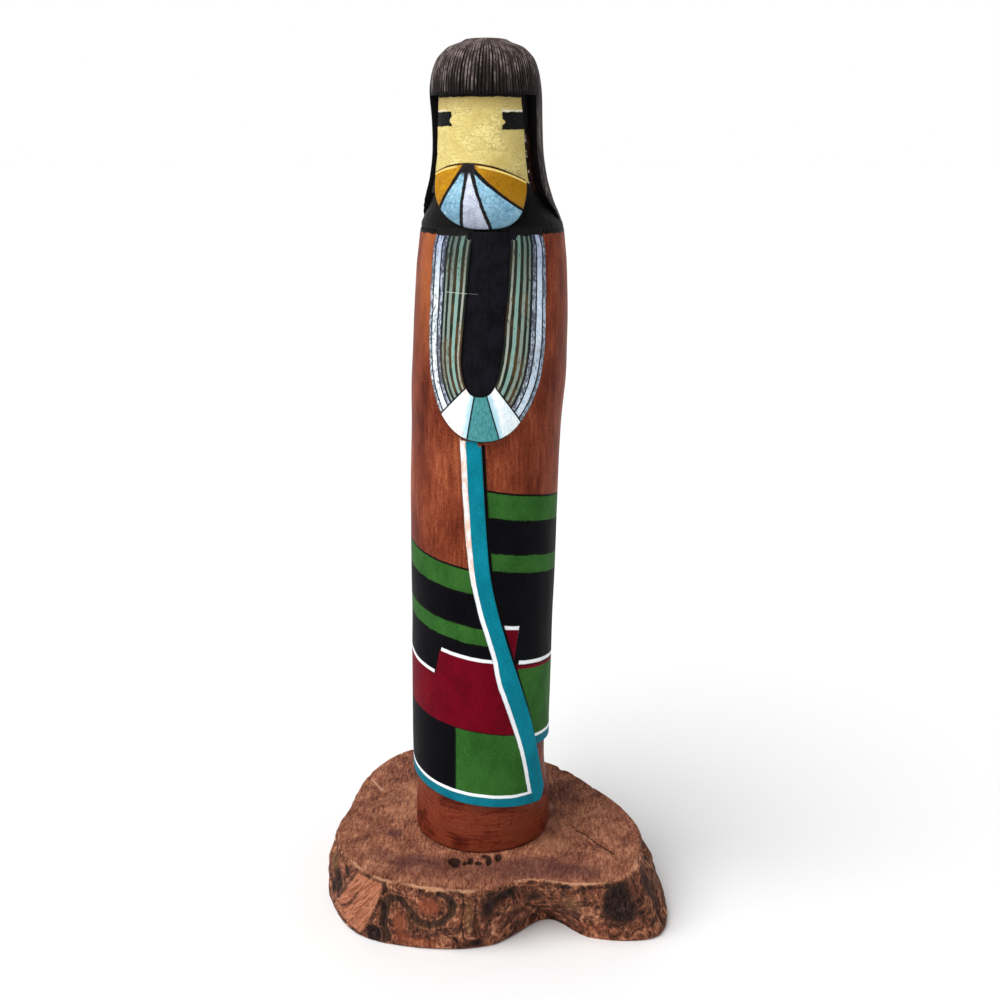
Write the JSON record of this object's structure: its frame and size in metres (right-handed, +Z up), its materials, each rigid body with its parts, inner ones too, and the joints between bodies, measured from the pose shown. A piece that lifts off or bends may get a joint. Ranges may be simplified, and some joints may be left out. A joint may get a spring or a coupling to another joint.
{
  "type": "kachina doll",
  "caption": "Carved and painted wooden kachina doll wrapped in a banded blanket, with a necklace, combed hair and a fan-shaped beard, standing on a natural-edge slab of root wood.",
  "frame": {"origin": "on the underside of the slab, below the axis of the doll", "axes": "+Z up through the crown, -Y out of the doll's front, +X to the viewer's right"},
  "size_m": [0.1078, 0.0886, 0.254],
  "materials": {
    "carved_wood": "stained and painted, satin",
    "root_wood": "sawn, matt, with natural bark edge"
  },
  "bodies": {
    "root": {"figure": "carved_wood", "base_slab": "root_wood"}
  },
  "joints": []
}
